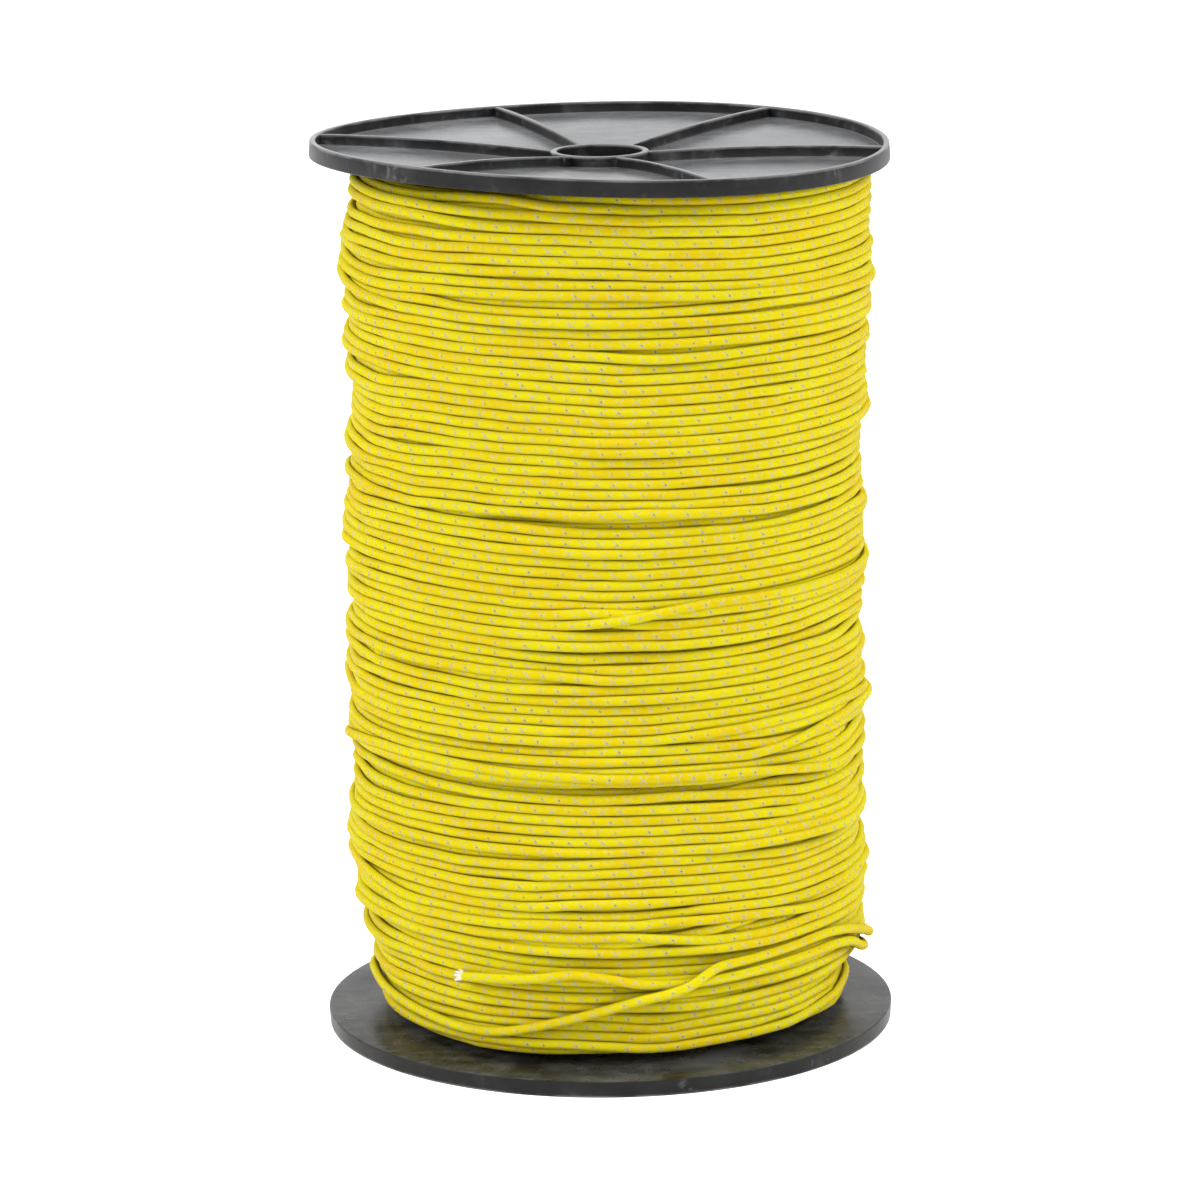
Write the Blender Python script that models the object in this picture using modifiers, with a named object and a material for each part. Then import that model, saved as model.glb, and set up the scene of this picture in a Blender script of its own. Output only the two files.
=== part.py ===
# A bulk spool of braided line: two ribbed flanges on a barrel, wound full, with the loose end on top.
import math

import bpy
import numpy as np
from mathutils import Vector
from mathutils.kdtree import KDTree

# Flange sizes, in metres
flange_diameter = 0.172
rim_height = 0.005
rim_wall = 0.002
rim_draft = 0.0003
disc_thickness = 0.0017
flange_dish = 0.0035
edge_chamfer = 0.0004
rib_count = 6
rib_thickness = 0.0017
rib_drop = 0.0002
rib_bite = 0.0006
first_rib_angle = math.radians(-8)
bore_diameter = 0.0254
hub_wall = 0.002
hub_depth = 0.012
spigot_depth = 0.012
spigot_wall = 0.002

# Spool sizes
spool_height = 0.2695
barrel_diameter = 0.050
barrel_wall = 0.0025
fit_clearance = 0.0003

# Line sizes: the winding is fullest at its belly and falls off towards each flange
line_diameter = 0.003
belly_diameter = 0.1575
bottom_diameter = 0.1400
top_diameter = 0.1570
shoulder_length = 0.060
turn_gap = 0.0004
strand_gap = 0.0006
loop_count = 24
end_core_diameter = 0.0021
end_core_length = 0.0035

# The loose end: degrees round from the front, height in metres, and layers above the outer turns
tail_start_angle = -140
tail_route = [
    (-130, 0.0092, 0.5),
    (-102, 0.0150, 1.0),
    (-87, 0.0165, 1.15),
    (-67, 0.0158, 1.15),
    (-54, 0.0144, 1.0),
    (-42, 0.0136, 1.0),
    (-29, 0.0137, 1.0),
    (-17, 0.0170, 1.0),
    (0.8, 0.0243, 1.1),
    (6.5, 0.0269, 1.6),
    (12.2, 0.0291, 2.1),
    (17, 0.0312, 2.2),
    (20.3, 0.0336, 1.9),
    (24, 0.0350, 1.4),
    (31, 0.0352, 1.1),
    (45, 0.0358, 1.05),
    (57, 0.0361, 1.0),
    (66, 0.0348, 1.0),
    (76, 0.0309, 1.0),
    (89, 0.0252, 1.05),
    (97, 0.0236, 1.05),
    (104, 0.0244, 1.0),
    (109.5, 0.0277, 1.0),
    (114.4, 0.0245, 1.0),
    (114.4, 0.0171, 1.0),
    (109.5, 0.0139, 1.0),
    (104, 0.0173, 1.0),
    (97, 0.0199, 1.05),
    (89, 0.0215, 1.05),
    (83, 0.0232, 1.05),
    (74, 0.0268, 1.0),
    (68.5, 0.0300, 1.0),
    (60, 0.0321, 1.0),
    (40, 0.0320, 1.05),
    (20, 0.0309, 1.0),
    (9, 0.0312, 1.0),
    (-2, 0.0337, 1.0),
    (-8.5, 0.0347, 1.0),
    (-16, 0.0332, 1.0),
    (-34, 0.0310, 1.0),
]

# Drawing detail
round_steps = 72
loop_points = 24
core_stations = 15
tail_spacing = 2.45 * line_diameter
curve_samples = 24

# Sizes that follow from the ones above
flange_radius = flange_diameter / 2
bore_radius = bore_diameter / 2
hub_radius = bore_radius + hub_wall
barrel_radius = barrel_diameter / 2
spigot_radius = barrel_radius - barrel_wall - fit_clearance
rim_inside = flange_radius - rim_wall
line_radius = line_diameter / 2
inner_bottom = rim_height
inner_top = spool_height - rim_height
chord_share = math.cos(math.pi / loop_points)

black_plastic = ((0.030, 0.030, 0.032, 1.0), 0.55)
barrel_plastic = ((0.022, 0.022, 0.024, 1.0), 0.60)
yellow_line = ((0.83, 0.62, 0.02, 1.0), 0.70)
deep_yellow_line = ((0.62, 0.44, 0.02, 1.0), 0.75)
white_core = ((0.80, 0.79, 0.75, 1.0), 0.80)


def clear_scene():
    for old in list(bpy.data.objects):
        bpy.data.objects.remove(old, do_unlink=True)


def make_collection(name):
    collection = bpy.data.collections.new(name)
    bpy.context.scene.collection.children.link(collection)
    return collection


def make_material(name, look):
    colour, roughness = look
    material = bpy.data.materials.new(name)
    material.use_nodes = True
    shader = material.node_tree.nodes["Principled BSDF"]
    shader.inputs["Base Color"].default_value = colour
    shader.inputs["Roughness"].default_value = roughness
    shader.inputs["Metallic"].default_value = 0.0
    material.diffuse_color = colour
    return material


def add_object(name, data, collection, parent, look=None):
    made = bpy.data.objects.new(name, data)
    collection.objects.link(made)
    made.parent = parent
    if look:
        data.materials.append(make_material(name + "_material", look))
    return made


# A closed outline of (radius, height) points, turned about Z; it runs down its outer side
def turned(name, outline, collection, parent, look):
    count = len(outline)
    mesh = bpy.data.meshes.new(name)
    points = [(radius, 0, height) for radius, height in outline]
    edges = [(i, (i + 1) % count) for i in range(count)]
    mesh.from_pydata(points, edges, [])
    made = add_object(name, mesh, collection, parent, look)
    screw = made.modifiers.new("Turn", "SCREW")
    screw.axis = "Z"
    screw.angle = math.tau
    screw.steps = round_steps
    screw.render_steps = round_steps
    screw.use_merge_vertices = True
    screw.merge_threshold = 0.00001
    screw.use_smooth_shade = True
    return made


def even_normals(made):
    weighted = made.modifiers.new("Even normals", "WEIGHTED_NORMAL")
    weighted.keep_sharp = True


def tube(name, points, diameter, collection, parent, look, roundness):
    curve = bpy.data.curves.new(name, "CURVE")
    curve.dimensions = "3D"
    curve.bevel_depth = diameter / 2
    curve.bevel_resolution = roundness
    curve.use_fill_caps = True
    spline = curve.splines.new("POLY")
    spline.points.add(len(points) - 1)
    for spot, point in zip(spline.points, points):
        spot.co = (*point, 1.0)
    return add_object(name, curve, collection, parent, look)


# How far the full winding's push leaves the hub below the rim, read at a radius
def dish_level(radius):
    return -flange_dish * (rim_inside - radius) / (rim_inside - hub_radius)


# Outer radius of the winding at a height
def winding_radius(height):
    belly = belly_diameter / 2
    low = max(0.0, 1 - (height - inner_bottom) / shoulder_length)
    high = max(0.0, 1 - (inner_top - height) / shoulder_length)
    return belly - (belly - bottom_diameter / 2) * low ** 2 - (belly - top_diameter / 2) * high ** 2


# A point on the winding, a number of layers above the outer turns
def winding_point(angle, height, layer=0.0):
    radius = winding_radius(height) - line_radius + layer * (line_diameter + strand_gap)
    turn = angle - math.pi / 2
    return Vector((radius * math.cos(turn), radius * math.sin(turn), height))


# The outer turns run down the spool and end with one straight diameter of line
def outer_layer_points():
    start = inner_top - fit_clearance - line_diameter
    end = inner_bottom + fit_clearance + line_diameter
    steps = loop_count * loop_points
    points = []
    for i in range(steps + 1):
        share = i / steps
        angle = math.radians(tail_start_angle) - math.tau * loop_count * (1 - share)
        points.append(winding_point(angle, start + (end - start) * share))
    first_way = (points[0] - points[1]).normalized()
    last_way = (points[-1] - points[-2]).normalized()
    points.insert(0, points[0] + first_way * line_diameter)
    points.append(points[-1] + last_way * line_diameter)
    return points


# A smooth curve through the route's own points, read off at even steps
def smooth_route(route, spacing):
    ends = [2 * route[0] - route[1]] + route + [2 * route[-1] - route[-2]]
    fine = []
    for i in range(1, len(ends) - 2):
        before, here, there, after = ends[i - 1:i + 3]
        for step in range(curve_samples):
            t = step / curve_samples
            pull = (there - before) * t + (2 * before - 5 * here + 4 * there - after) * t ** 2
            swing = (3 * here - 3 * there + after - before) * t ** 3
            fine.append(here + (pull + swing) / 2)
    fine.append(route[-1])
    fine = np.array(fine)
    lengths = np.concatenate(([0], np.cumsum(np.linalg.norm(np.diff(fine, axis=0), axis=1))))
    count = max(2, round(lengths[-1] / spacing))
    stations = np.linspace(0, lengths[-1], count + 1)
    columns = [np.interp(stations, lengths, fine[:, axis]) for axis in range(3)]
    return [Vector(point) for point in zip(*columns)]


# The same straight runs with more points on them
def refined(points, spacing):
    fine = []
    for start, end in zip(points, points[1:]):
        count = max(1, round((end - start).length / spacing))
        fine.extend(start.lerp(end, step / count) for step in range(count))
    fine.append(points[-1])
    return fine


# Least gap between stretches of a tube that are not next to each other along it
def least_gap(points, diameter):
    fine = refined(points, diameter / 2)
    near_steps = 8
    tree = KDTree(len(fine))
    for i, point in enumerate(fine):
        tree.insert(point, i)
    tree.balance()
    nearest = math.inf
    for i, point in enumerate(fine):
        for _, other, distance in tree.find_range(point, 4 * diameter):
            if abs(other - i) > near_steps:
                nearest = min(nearest, distance)
    return nearest - diameter


# Boxes for the ribs, tilted with the dished plate
def rib_boxes(name, collection, parent):
    start = hub_radius - rib_bite
    end = rim_inside + rib_bite
    middle = (start + end) / 2
    low = disc_thickness - rib_bite
    high = rim_height - rib_drop
    level = (low + high) / 2 + dish_level(middle)
    slope = math.atan2(dish_level(end) - dish_level(start), end - start)
    tools = []
    for i in range(rib_count):
        angle = first_rib_angle + math.tau * i / rib_count
        bpy.ops.mesh.primitive_cube_add(size=1)
        box = bpy.context.object
        box.name = f"{name}_{i + 1}"
        box.location = (middle * math.cos(angle), middle * math.sin(angle), level)
        box.rotation_euler = (0, -slope, angle)
        box.scale = ((end - start) / math.cos(slope), rib_thickness, (high - low) * math.cos(slope))
        for old in box.users_collection:
            old.objects.unlink(box)
        collection.objects.link(box)
        box.parent = parent
        box.hide_render = True
        box.display_type = "WIRE"
        tools.append(box)
    return tools


# One flange, the foot of its rim at its own height 0 and the rim standing outwards along +Z
def make_flange(name, collection, cutters, parent):
    rim_top = flange_radius - rim_draft
    spigot_inside = spigot_radius - spigot_wall
    spigot_end = -flange_dish - spigot_depth
    hub_end = -flange_dish - hub_depth
    outline = [
        (rim_top - edge_chamfer, rim_height),
        (rim_top, rim_height - edge_chamfer),
        (flange_radius, edge_chamfer),
        (flange_radius - edge_chamfer, 0),
        (rim_inside, 0),
        (spigot_radius, dish_level(spigot_radius)),
        (spigot_radius, spigot_end + edge_chamfer),
        (spigot_radius - edge_chamfer, spigot_end),
        (spigot_inside, spigot_end),
        (spigot_inside, dish_level(spigot_inside)),
        (hub_radius, -flange_dish),
        (hub_radius, hub_end),
        (bore_radius, hub_end),
        (bore_radius, rim_height - flange_dish),
        (hub_radius, rim_height - flange_dish),
        (hub_radius, disc_thickness - flange_dish),
        (rim_inside, disc_thickness),
        (rim_inside, rim_height),
    ]
    flange = turned(name, outline, collection, parent, black_plastic)
    for i, box in enumerate(rib_boxes(name + "_rib", cutters, flange)):
        join = flange.modifiers.new(f"Rib {i + 1}", "BOOLEAN")
        join.operation = "UNION"
        join.solver = "EXACT"
        join.object = box
    even_normals(flange)
    return flange


def make_barrel(collection, parent):
    inset = fit_clearance - dish_level(spigot_radius)
    low = inner_bottom + inset
    high = inner_top - inset
    outline = [
        (barrel_radius, high),
        (barrel_radius, low),
        (barrel_radius - barrel_wall, low),
        (barrel_radius - barrel_wall, high),
    ]
    barrel = turned("barrel", outline, collection, parent, barrel_plastic)
    even_normals(barrel)


# All the turns under the outer layer, as one ring that follows the winding's outline
def make_inner_layers(collection, parent):
    inside = barrel_radius + fit_clearance
    inset = fit_clearance - dish_level(inside)
    low = inner_bottom + fit_clearance - dish_level(bottom_diameter / 2 - line_diameter)
    high = inner_top - fit_clearance + dish_level(top_diameter / 2 - line_diameter)
    outline = []
    for i in range(core_stations):
        height = high + (low - high) * i / (core_stations - 1)
        outer_turns = (winding_radius(height) - line_radius) * chord_share
        outline.append((outer_turns - line_radius - turn_gap, height))
    outline.append((inside, inner_bottom + inset))
    outline.append((inside, inner_top - inset))
    layers = turned("line_inner_layers", outline, collection, parent, deep_yellow_line)
    even_normals(layers)


def make_line(collection, parent):
    turns = outer_layer_points()
    tube("line_outer_layer", turns, line_diameter, collection, parent, yellow_line, 1)

    # the tail carries on from the end of the turns, face to face
    way = (turns[-1] - turns[-2]).normalized()
    start = turns[-1] + way * fit_clearance
    route = [start, start + way * line_diameter]
    route += [winding_point(math.radians(angle), height, layer) for angle, height, layer in tail_route]
    tail = [start] + smooth_route(route[1:], tail_spacing)
    tube("line_tail", tail, line_diameter, collection, parent, yellow_line, 2)

    way = (tail[-1] - tail[-2]).normalized()
    stub_start = tail[-1] + way * fit_clearance
    stub = [stub_start, stub_start + way * end_core_length]
    tube("line_end_core", stub, end_core_diameter, collection, parent, white_core, 2)

    length = sum((b - a).length for a, b in zip(tail, tail[1:]))
    print(f"outer layer least gap to itself {least_gap(turns, line_diameter) * 1000:.2f} mm")
    print(f"tail {length * 1000:.0f} mm, {len(tail)} points, "
          f"least gap to itself {least_gap(tail, line_diameter) * 1000:.2f} mm")


def main():
    clear_scene()
    collection = make_collection("fishing_line_spool")
    cutters = make_collection("cutters")
    cutters.hide_render = True
    spool = bpy.data.objects.new("spool_axis", None)
    collection.objects.link(spool)

    top = make_flange("top_flange", collection, cutters, spool)
    top.location.z = inner_top
    bottom = make_flange("bottom_flange", collection, cutters, spool)
    bottom.location.z = inner_bottom
    bottom.rotation_euler.x = math.pi
    make_barrel(collection, spool)
    make_inner_layers(collection, spool)
    make_line(collection, spool)


main()
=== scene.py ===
# A bulk spool of yellow braided line on black ribbed flanges, with its loose end doubled back over the turns.
import math
from functools import partial

import bmesh
import bpy
import numpy as np
from mathutils import Matrix, Vector


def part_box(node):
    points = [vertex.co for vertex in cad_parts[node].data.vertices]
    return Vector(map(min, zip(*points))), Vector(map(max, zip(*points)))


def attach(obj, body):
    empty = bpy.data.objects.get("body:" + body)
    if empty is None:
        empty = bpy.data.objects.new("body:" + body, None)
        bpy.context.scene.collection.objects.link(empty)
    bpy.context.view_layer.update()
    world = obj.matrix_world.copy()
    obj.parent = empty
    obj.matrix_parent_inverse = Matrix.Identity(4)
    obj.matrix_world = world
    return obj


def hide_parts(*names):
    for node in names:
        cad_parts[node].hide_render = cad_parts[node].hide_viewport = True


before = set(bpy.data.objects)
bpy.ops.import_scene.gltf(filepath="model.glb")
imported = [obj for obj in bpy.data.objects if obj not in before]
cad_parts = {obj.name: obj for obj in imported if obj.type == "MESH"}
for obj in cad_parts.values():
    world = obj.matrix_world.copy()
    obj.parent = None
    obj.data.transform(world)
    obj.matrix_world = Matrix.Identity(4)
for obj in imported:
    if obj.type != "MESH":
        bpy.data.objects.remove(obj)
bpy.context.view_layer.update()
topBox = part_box("top_flange")
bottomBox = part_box("bottom_flange")
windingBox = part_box("line_inner_layers")
flangeRadius = topBox[1][0]
spoolTop = topBox[1][2]
lineLow = windingBox[0][2]
lineHigh = windingBox[1][2]
print("frame loaded, spool", round(spoolTop * 1000), "mm tall")


# Small helpers for node trees and meshes

def addNode(tree, kind, **settings):
    node = tree.nodes.new(kind)
    for name, value in settings.items():
        setattr(node, name, value)
    return node


def wire(tree, source, target):
    tree.links.new(source, target)


def through(tree, source, kind, **settings):
    # a new node, fed at its first socket
    node = addNode(tree, kind, **settings)
    wire(tree, source, node.inputs[0])
    return node


def feed(tree, socket, value):
    # another node's output is wired to the socket, and anything else becomes its value
    if isinstance(value, bpy.types.NodeSocket):
        wire(tree, value, socket)
    else:
        socket.default_value = value


def fill(tree, node, values):
    for name, value in values.items():
        feed(tree, node.inputs[name], value)


def mathNode(tree, operation, *values):
    node = addNode(tree, "ShaderNodeMath", operation=operation)
    for socket, value in zip(node.inputs, values):
        feed(tree, socket, value)
    return node.outputs[0]


def mixColour(tree, factor, first, second):
    node = addNode(tree, "ShaderNodeMix", data_type="RGBA")
    sockets = {socket.identifier: socket for socket in node.inputs}
    for name, value in (("Factor_Float", factor), ("A_Color", first), ("B_Color", second)):
        feed(tree, sockets[name], value)
    return next(s for s in node.outputs if s.identifier == "Result_Color")


def ramp(tree, value, low, high):
    node = through(tree, value, "ShaderNodeMapRange", interpolation_type="SMOOTHSTEP")
    fill(tree, node, {"From Min": low, "From Max": high})
    return node.outputs["Result"]


def noise(tree, vector, scale, detail=3.0, roughness=0.55):
    node = through(tree, vector, "ShaderNodeTexNoise")
    fill(tree, node, {"Scale": scale, "Detail": detail, "Roughness": roughness})
    return node.outputs["Fac"]


def stretched(tree, vector, scale):
    node = through(tree, vector, "ShaderNodeMapping")
    node.inputs["Scale"].default_value = scale
    return node.outputs["Vector"]


def marks(tree, place, look):
    # noise that fades in between two levels; the scale is one number, or one for each axis
    scale, detail, roughness, low, high = look
    if isinstance(scale, tuple):
        place, scale = stretched(tree, place, scale), 1.0
    return ramp(tree, noise(tree, place, scale, detail, roughness), low, high)


def newGroup(name, inputs, outputs):
    group = bpy.data.node_groups.new(name, "ShaderNodeTree")
    for title, kind, value in inputs:
        socket = group.interface.new_socket(title, in_out="INPUT", socket_type="NodeSocket" + kind)
        if value is not None:
            socket.default_value = value
    for title, kind in outputs:
        group.interface.new_socket(title, in_out="OUTPUT", socket_type="NodeSocket" + kind)
    given = addNode(group, "NodeGroupInput").outputs
    out = addNode(group, "NodeGroupOutput").inputs
    return group, given, out, partial(mathNode, group)


def useGroup(tree, group, **values):
    node = addNode(tree, "ShaderNodeGroup", node_tree=group)
    fill(tree, node, values)
    return node.outputs


def newMaterial(name):
    material = bpy.data.materials.new(name)
    material.use_nodes = True
    tree = material.node_tree
    return material, tree, tree.nodes["Principled BSDF"]


def bumpInto(tree, shader, height, strength, distance):
    bump = addNode(tree, "ShaderNodeBump")
    fill(tree, bump, {"Strength": strength, "Distance": distance, "Height": height})
    wire(tree, bump.outputs["Normal"], shader.inputs["Normal"])


def addPiece(name, mesh, material=None):
    piece = bpy.data.objects.new(name, mesh)
    bpy.context.scene.collection.objects.link(piece)
    if material:
        mesh.materials.append(material)
    return piece


def meshFrom(shape, name):
    mesh = bpy.data.meshes.new(name)
    shape.to_mesh(mesh)
    shape.free()
    return mesh


def cornerPlaces(mesh):
    places = np.empty(len(mesh.vertices) * 3)
    mesh.vertices.foreach_get("co", places)
    return places.reshape(-1, 3)


def frozen(piece):
    # the evaluated shape as a plain mesh, with the modifiers gone
    bpy.context.view_layer.update()
    shape = piece.evaluated_get(bpy.context.evaluated_depsgraph_get())
    mesh = bpy.data.meshes.new_from_object(shape)
    mesh.name = piece.name
    piece.modifiers.clear()
    piece.data = mesh
    return piece


# Camera, at the photograph's place

viewSettings = {
    "place": (-0.00160, -1.59995, 0.48784),
    "tiltDown": 12.623,       # degrees
    "roll": -0.75,
    "focalPixels": 5437.7,
    "frameWidth": 1200,       # pixels
    "sensorWidth": 36,
    "clipEnd": 50,
}


def makeCamera(s):
    tilt = math.radians(s["tiltDown"])
    roll = math.radians(s["roll"])
    ahead = Vector((0, math.cos(tilt), -math.sin(tilt)))
    right = Vector((1, 0, 0))
    up = Vector((0, math.sin(tilt), math.cos(tilt)))
    turnedRight = right * math.cos(roll) + up * math.sin(roll)
    turnedUp = up * math.cos(roll) - right * math.sin(roll)
    data = bpy.data.cameras.new("photoCamera")
    data.sensor_width = s["sensorWidth"]
    data.lens = s["focalPixels"] / s["frameWidth"] * data.sensor_width
    data.clip_end = s["clipEnd"]
    camera = bpy.data.objects.new("photoCamera", data)
    bpy.context.scene.collection.objects.link(camera)
    axes = Matrix((turnedRight, turnedUp, -ahead)).transposed().to_4x4()
    camera.matrix_world = Matrix.Translation(s["place"]) @ axes
    bpy.context.scene.camera = camera


makeCamera(viewSettings)
print("camera placed")


# Finishes: groups that more than one material uses

def makeBraidGroup():
    # woven strands from the length along the line and the direction round it
    group, given, out, calc = newGroup(
        "BraidWeave",
        [("Along", "Float", None), ("Around", "Vector", None),
         ("Strands", "Float", 12.0), ("PaleEvery", "Float", 6.0),
         ("Lead", "Float", 0.01), ("ToneScale", "Float", 20.0)],
        [("Height", "Float"), ("Tracer", "Float"), ("Fleck", "Float"),
         ("Tone", "Float")],
    )
    split = through(group, given["Around"], "ShaderNodeSeparateXYZ")
    angle = calc("ARCTAN2", split.outputs["Y"], split.outputs["X"])
    halfStrand = calc("DIVIDE", 0.5, given["Strands"])    # pale threads then cross on the outer side
    turn = calc("MULTIPLY_ADD", angle, 1 / math.tau, halfStrand)
    run = calc("DIVIDE", given["Along"], given["Lead"])
    left = calc("MULTIPLY", calc("ADD", turn, run), given["Strands"])
    right = calc("MULTIPLY", calc("SUBTRACT", turn, run), given["Strands"])
    leftIndex = calc("FLOOR", left)
    rightIndex = calc("FLOOR", right)
    crossing = calc("FLOORED_MODULO", calc("ADD", leftIndex, rightIndex), 4.0)
    over = calc("LESS_THAN", crossing, 1.5)    # each strand runs over two and under two
    under = calc("SUBTRACT", 1.0, over)

    def crown(place):
        offset = calc("MULTIPLY_ADD", calc("FRACT", place), 2.0, -1.0)
        return calc("SUBTRACT", 1.0, calc("MULTIPLY", offset, offset))

    def paleStrand(index):
        return calc("LESS_THAN", calc("FLOORED_MODULO", index, given["PaleEvery"]), 0.5)

    leftHeight = calc("MULTIPLY", crown(left), over)
    height = calc("MULTIPLY_ADD", crown(right), under, leftHeight)
    leftShown = calc("MULTIPLY", crown(left), calc("LESS_THAN", crossing, 2.5))
    rightShown = calc("MULTIPLY", crown(right), calc("GREATER_THAN", crossing, 0.5))
    leftTracer = calc("MULTIPLY", paleStrand(leftIndex), leftShown)
    rightTracer = calc("MULTIPLY", paleStrand(rightIndex), rightShown)
    tracer = calc("MAXIMUM", leftTracer, rightTracer)    # pale threads lie a little proud
    fleck = calc("MULTIPLY", paleStrand(leftIndex), paleStrand(rightIndex))
    fleck = calc("MULTIPLY", fleck, calc("MULTIPLY", crown(left), crown(right)))
    tone = addNode(group, "ShaderNodeTexNoise", noise_dimensions="1D")
    fill(group, tone, {"W": given["Along"], "Scale": given["ToneScale"], "Detail": 2})
    wire(group, height, out["Height"])
    wire(group, tracer, out["Tracer"])
    wire(group, fleck, out["Fleck"])
    wire(group, tone.outputs["Fac"], out["Tone"])
    return group


scuffPattern = {
    # marks in a metre, detail, roughness, and the two levels that they fade in between
    "upright": ((110, 110, 70), 5, 0.55, 0.46, 0.84),
    "across": ((90, 520, 260), 3, 0.55, 0.54, 0.72),
    "patches": (60, 4, 0.62, 0.44, 0.68),
    "mottle": (70, 5, 0.6),
    "grain": (1900, 2),
}


def makeScuffGroup(p):
    # fine scratches and rubbed patches on moulded plastic
    group, given, out, calc = newGroup(
        "MouldScuffs",
        [("Place", "Vector", None), ("Amount", "Float", 0.5)],
        [("Scuff", "Float"), ("Mottle", "Float"), ("Grain", "Float")],
    )
    place = given["Place"]
    lines = calc("MAXIMUM", marks(group, place, p["upright"]), marks(group, place, p["across"]))
    scuff = calc("MULTIPLY", lines, marks(group, place, p["patches"]))
    wire(group, calc("MULTIPLY", scuff, given["Amount"]), out["Scuff"])
    wire(group, noise(group, place, *p["mottle"]), out["Mottle"])
    wire(group, noise(group, place, *p["grain"]), out["Grain"])
    return group


dustAndSheenPattern = {
    "clouds": (38, 6, 0.65, 0.36, 0.72),
    "streaks": ((60, 240, 60), 4, 0.55, 0.38, 0.70),
    "streakShare": 0.3,
    "sheenSlant": -2.5,            # more of it on the left: painted reflection, lighter on that side
    "upRange": (0.5, 0.95),   # how far a face has to look up
}


def makeDustAndSheenGroup(p):
    # pale dust that settles on faces that look up, with a painted sheen: those faces are painted lighter for
    # the bright surroundings that they reflect
    group, given, out, calc = newGroup(
        "DustAndPaintedSheen",
        [("Place", "Vector", None), ("Facing", "Vector", None),
         ("Amount", "Float", 0.4), ("Even", "Float", 0.5)],
        [("DustAndSheen", "Float"), ("Level", "Float")],
    )
    up = through(group, given["Facing"], "ShaderNodeSeparateXYZ").outputs["Z"]
    level = ramp(group, up, *p["upRange"])
    clouds = calc("MULTIPLY", marks(group, given["Place"], p["clouds"]), 1 - p["streakShare"])
    streaks = marks(group, given["Place"], p["streaks"])
    both = calc("MULTIPLY_ADD", streaks, p["streakShare"], clouds)
    uneven = calc("SUBTRACT", 1.0, given["Even"])
    both = calc("MULTIPLY_ADD", both, uneven, given["Even"])
    side = through(group, given["Place"], "ShaderNodeSeparateXYZ").outputs["X"]
    sheenSlant = calc("MULTIPLY_ADD", side, p["sheenSlant"], 1.0)
    both = calc("MULTIPLY", both, sheenSlant)
    dustAndSheen = calc("MULTIPLY", calc("MULTIPLY", both, level), given["Amount"])
    wire(group, dustAndSheen, out["DustAndSheen"])
    wire(group, level, out["Level"])
    return group


braidGroup = makeBraidGroup()
scuffGroup = makeScuffGroup(scuffPattern)
dustAndSheenGroup = makeDustAndSheenGroup(dustAndSheenPattern)

lineFinish = {
    "bright": (0.92, 0.81, 0.010, 1),
    "warm": (0.91, 0.70, 0.008, 1),
    # darker yellow: painted shade for the turns below, seen only through gaps
    "under": (0.66, 0.54, 0.012, 1),
    "tracer": (0.68, 0.62, 0.31, 1),
    # painted shade on the sides of the pale threads
    "tracerSideShade": (0.41, 0.36, 0.14, 1),
    # painted shade in the hollows of the weave
    "weaveValleyShade": (0.29, 0.21, 0.003, 1),
    # painted shade for the dark line between two turns
    "hollow": (0.20, 0.15, 0.002, 1),
    # dark specks where two pale threads cross
    "fleck": (0.10, 0.08, 0.03, 1),
    "beads": 0.55,            # how far the strands break up the painted shade line between two turns
    "roughness": 0.60,
    "threadShine": 0.22,      # how much smoother the pale threads are
    "specular": 0.03,
    "lead": 0.0098,           # length of one turn of a strand
    "strands": 12,            # laid each way
    "paleEvery": 6,
    "toneScale": 26,          # changes of shade in a metre of line
    "threadBreaks": (420, 2, 0.55, 0.34, 0.56),
    "speckPatches": (170, 1, 0.55, 0.4, 0.7),
    "strandBump": 0.8,
    "strandDepth": 0.00032,
    # the levels that each of these fades in between
    "warmRange": (0.35, 0.68),
    "crownRange": (0.0, 0.75),
    "gapShadeRange": (0.22, 0.62),
    "threadRange": (0.0, 0.15),
    "crestRange": (0.3, 0.75),
    "outwardRange": (0.45, 0.85),
    "fleckRange": (0.25, 0.7),
}
plasticFinish = {
    "black": (0.004, 0.004, 0.004, 1),
    "grey": (0.011, 0.011, 0.011, 1),
    "scratch": (0.20, 0.20, 0.195, 1),
    # pale dust, partly a painted sheen on faces that look up
    "dustAndSheen": (0.42, 0.43, 0.45, 1),
    # rubbed edges, partly a painted highlight
    "edge": (0.14, 0.14, 0.14, 1),
    "scuffAmount": 0.42,
    "dustAndSheenAmount": 0.52,
    "roughness": 0.25,
    "smudge": 0.22,           # how much the roughness wanders
    "polish": 0.25,           # how much smoother the flat faces are
    "gloss": 0.20,
    "dustAndSheenRoughness": 0.08,
    "grainBump": 0.12,
    "grainDepth": 0.0003,
    "greyRange": (0.34, 0.70),
    "edgeWearAndHighlightRange": (0.30, 0.62),
}
coreFinish = {
    "shade": (0.70, 0.66, 0.50, 1),
    "white": (0.90, 0.89, 0.84, 1),
    "fuzz": (2600, 3),
    "whiteRange": (0.3, 0.7),
    "roughness": 0.65,
    "roughSpread": 0.2,
    "fuzzBump": 0.4,
    "fuzzDepth": 0.0002,
}


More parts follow.
